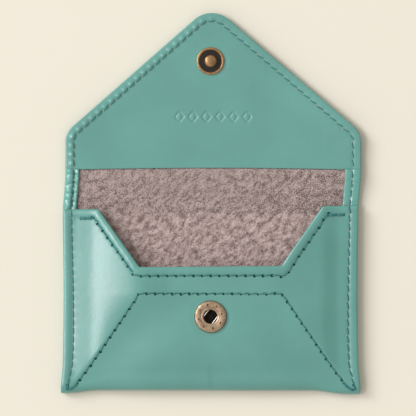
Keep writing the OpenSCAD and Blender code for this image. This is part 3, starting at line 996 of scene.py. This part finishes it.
def suede_material():
    """Brushed pig suede: a slanted nap with short dark tufts; above its crease it is rougher, and darker
    towards the right and towards the crease.
    """
    m = Nodes("pig_suede")
    place = m.flat()
    slant = math.radians(-42)
    tufts = m.noise(m.flat(scale=(0.6, 1.0, 1), turn=slant), 0.55, 6.0, 0.78)
    fibres = m.noise(m.flat(scale=(0.6, 1.2, 1), turn=slant), 2.6, 5.0, 0.8)
    nap = m.noise(place, 4.0, 4.0, 0.8)
    cloud = m.noise(place, 0.07, 2.0)
    light = (0.84, 0.67, 0.645, 1)
    dark = (0.175, 0.113, 0.1, 1)
    split = m.add("ShaderNodeSeparateXYZ", {"Vector": place}).outputs
    worn = m.spread(split["Y"], CREASE_Y - 0.3, CREASE_Y + 0.5)
    finer = m.math("MULTIPLY", worn, 0.14)
    mixed = m.math("MULTIPLY", tufts, m.math("SUBTRACT", 0.42, finer))
    mixed = m.math("ADD", mixed, m.math("MULTIPLY", fibres, m.math("ADD", 0.33, finer)))
    mixed = m.math("SUBTRACT", m.math("ADD", mixed, m.math("MULTIPLY", nap, 0.25)), 0.493)
    # above the crease the colour is made darker towards the right and towards the crease
    darker_right_and_at_crease = m.math("ADD", m.spread(split["Y"], CREASE_Y, CREASE_Y + 11, 0.003, -0.005),
                   m.spread(split["X"], 5, 48, 0, 0.008))
    mixed = m.math("SUBTRACT", mixed, m.math("MULTIPLY", worn, darker_right_and_at_crease))
    mixed = m.math("MULTIPLY", mixed, m.math("ADD", 1.0, m.math("MULTIPLY", worn, 1.1)))
    color = m.mix(m.spread(mixed, -0.05, 0.051), dark, light)
    color = m.mix(m.spread(cloud, 0.35, 0.65, 0.0, 0.12), color, (0.25, 0.17, 0.14, 1))
    naps = m.math("MULTIPLY", nap, m.math("ADD", 0.7, m.math("MULTIPLY", worn, 0.8)))
    height = m.math("ADD", m.math("MULTIPLY", tufts, 1.8), m.math("ADD", fibres, naps))
    normal = m.bump(height, 0.6)
    return m.use(color=color, roughness=0.95, normal=normal, sheen=0.3, sheen_roughness=0.5, specular=0.1)


def thread_material():
    m = Nodes("waxed_thread")
    fibres = m.noise(m.solid(), 6.0, 3.0)
    color = m.mix(m.spread(fibres, 0.3, 0.7), (0.012, 0.12, 0.122, 1), (0.045, 0.24, 0.235, 1))
    return m.use(color=color, roughness=0.6, normal=m.bump(fibres, 0.02), specular=0.35, sheen=0.2)


def hole_material(name, dark, light):
    m = Nodes(name)
    shade = m.noise(m.solid(), 3.0, 2.0)
    return m.use(color=m.mix(shade, dark, light), roughness=0.9, specular=0.1)


def brass_material(name, bright, dull, rough, age, centre_y=None, dark_from=0.0, dark_to=0.0, face=None):
    """Plated brass: dull patches and scratches over a brighter metal, blackened in a ring round centre_y.

    With face, the height of a ring's face, the dimples below it are dark and it shades like a dome.
    """
    m = Nodes(name)
    place = m.solid()
    patches = m.noise(place, 0.8, 5.0, 0.6)
    specks = m.noise(place, 5.0, 3.0)
    worn = m.math("MULTIPLY", m.spread(patches, 0.35, 0.65), age)
    color = m.mix(worn, bright, dull)
    color = m.mix(m.spread(specks, 0.55, 0.75, 0.0, age * 0.5), color, dull)
    if centre_y is not None:
        centred = {"Vector": place, "Location": (0, -centre_y, 0), "Scale": (1, 1, 0)}
        moved = m.add("ShaderNodeMapping", centred).outputs["Vector"]
        r = m.add("ShaderNodeVectorMath", {0: moved}, operation="LENGTH").outputs["Value"]
        ring = m.math("MULTIPLY", m.spread(r, dark_from - 0.15, dark_from + 0.1),
                      m.spread(r, dark_to + 0.12, dark_to - 0.12))
        ripple = m.add("ShaderNodeTexWave", {"Vector": moved, "Scale": 0.7, "Distortion": 1.5},
                       wave_type="RINGS", rings_direction="SPHERICAL").outputs["Fac"]
        color = m.mix(ring, color, m.mix(ripple, (0.02, 0.018, 0.016, 1), (0.075, 0.066, 0.058, 1)))
    drawn_out = m.add("ShaderNodeMapping", {"Vector": place, "Scale": (0.4, 3.0, 1.0)}).outputs["Vector"]
    scratches = m.noise(drawn_out, 3.0)
    normal = m.bump(scratches, 0.006, m.bump(patches, 0.02))
    if face is not None:
        up = m.add("ShaderNodeSeparateXYZ", {"Vector": place}).outputs["Z"]
        sunk = m.math("MULTIPLY", m.spread(up, face - 0.07, face - 0.28), m.spread(r, 3.2, 3.5))
        color = m.mix(m.math("MULTIPLY", sunk, 0.8), color, (0.03, 0.02, 0.015, 1))
        ring_middle = 4.1
        out = m.math("SUBTRACT", r, ring_middle)
        normal = m.bump(m.math("MULTIPLY", m.math("MULTIPLY", out, out), -1.0), 0.12, normal)
    rough_now = m.spread(patches, 0.3, 0.7, rough, rough + 0.14)
    return m.use(color=color, metallic=1.0, roughness=rough_now, normal=normal)


def steel_material():
    m = Nodes("spring_steel")
    drawn = m.noise(m.solid(), 4.0, 2.0)
    color = m.mix(drawn, (0.45, 0.44, 0.42, 1), (0.75, 0.74, 0.71, 1))
    return m.use(color=color, metallic=1.0, roughness=0.3, normal=m.bump(drawn, 0.01))


def paint(objects, material):
    for obj in objects:
        obj.data.materials.clear()
        obj.data.materials.append(material)


# ---- camera, light and floor ----

def make_studio():
    floor_mesh = bpy.data.meshes.new("floor")
    reach = 3.0
    floor_mesh.from_pydata([(-reach, -reach, 0), (reach, -reach, 0), (reach, reach, 0), (-reach, reach, 0)],
                           [], [(0, 1, 2, 3)])
    floor = add_object("floor", floor_mesh)
    floor.location.z = -0.00005
    m = Nodes("pale_floor")
    m.use(color=(0.764, 0.738, 0.64, 1), roughness=0.9, specular=0.1)
    floor_mesh.materials.append(m.material)

    camera = add_object("camera", bpy.data.cameras.new("camera"))
    camera.data.lens = 600
    seen, seen_at = 0.1492, 0.003  # width of the picture, and the height at which it has that width
    camera.location = (-0.0009, 0.0291, seen * camera.data.lens / camera.data.sensor_width + seen_at)
    camera.data.clip_end = 10
    bpy.context.scene.camera = camera

    def area(name, direction, distance, size, power, color=(1, 1, 1)):
        light = bpy.data.lights.new(name, "AREA")
        light.shape = "RECTANGLE"
        light.size, light.size_y = size
        light.energy = power
        light.color = color
        obj = add_object(name, light)
        aim = Vector((0, 0.03, 0))
        way = Vector(direction).normalized()
        obj.location = aim + way * distance
        obj.rotation_mode = "QUATERNION"
        obj.rotation_quaternion = way.to_track_quat("Z", "Y")

    area("key", (-1.4, 0.8, 1.0), 5.0, (2.1, 2.1), 143.0)
    area("window", (-0.66, 0.06, 1.0), 5.0, (1.9, 1.3), 68.0, (1.0, 0.9, 0.95))
    world = bpy.data.worlds.new("studio")
    world.use_nodes = True
    tree = world.node_tree
    way = tree.nodes.new("ShaderNodeTexCoord")
    split = tree.nodes.new("ShaderNodeSeparateXYZ")
    across = tree.nodes.new("ShaderNodeMapRange")
    across.inputs["From Min"].default_value = -1
    blend = tree.nodes.new("ShaderNodeMix")
    blend.data_type = "RGBA"
    blend.inputs["A"].default_value = (0.91, 0.905, 0.885, 1)
    blend.inputs["B"].default_value = (0.405, 0.36, 0.315, 1)
    sky = tree.nodes["Background"]
    sky.inputs["Strength"].default_value = 0.975
    for source, target in (
        (way.outputs["Generated"], split.inputs[0]), (split.outputs["X"], across.inputs["Value"]),
        (across.outputs["Result"], blend.inputs["Factor"]), (blend.outputs["Result"], sky.inputs["Color"]),
    ):
        tree.links.new(source, target)
    bpy.context.scene.world = world
    bpy.context.scene.view_settings.view_transform = "Standard"


# ---- the model ----

fronts, linings = make_front()
outers = make_outer()
suedes = make_suede()
edges = make_turned_edges()
flap_linings = make_lining()
threads, holes, pale_holes = make_threads()

TEAL = (0.096, 0.316, 0.274)
leather = leather_material("mint_leather", TEAL)
paint(fronts + outers + flap_linings, leather)
# The turned edges are the same leather painted 6% lighter: a painted highlight for the light they catch.
paint(edges, leather_material("turned_leather_painted_lighter", tuple(c * 1.06 for c in TEAL)))
paint(suedes + linings, suede_material())
paint(threads, thread_material())
# The dark needle holes are small cones on the face, not real holes: their dark colour is painted shade for
# the inside of each hole.
paint(holes, hole_material("needle_hole_painted_shade", (0.003, 0.03, 0.03, 1), (0.012, 0.065, 0.062, 1)))
paint(pale_holes, hole_material("pale_needle_hole", (0.30, 0.24, 0.19, 1), (0.62, 0.47, 0.38, 1)))

AGED = (0.17, 0.10, 0.045, 1)
metals = {
    "stud_cap": brass_material("antique_brass", (0.68, 0.505, 0.32, 1), AGED, 0.34, 0.6),
    "socket_case": brass_material("socket_brass", (0.58, 0.44, 0.305, 1), AGED, 0.33, 0.6, socket_y, 0.0, 0.1,
                                  face=socket_high[2]),
    # The socket's back, seen down the socket's hole, is painted near black: painted shade for the depth of
    # the hole.
    "socket_back": brass_material("socket_floor_painted_shade", (0.022, 0.019, 0.017, 1), (0.008, 0.007, 0.006, 1),
                                  0.4, 0.6),
    "stud": brass_material("stud_brass", (0.50, 0.31, 0.15, 1), AGED, 0.3, 0.6, stud_y, 2.15, 4.05),
    "socket_spring": steel_material(),
}
for node, metal in metals.items():
    paint([frame["nodes"][node]], metal)

make_studio()
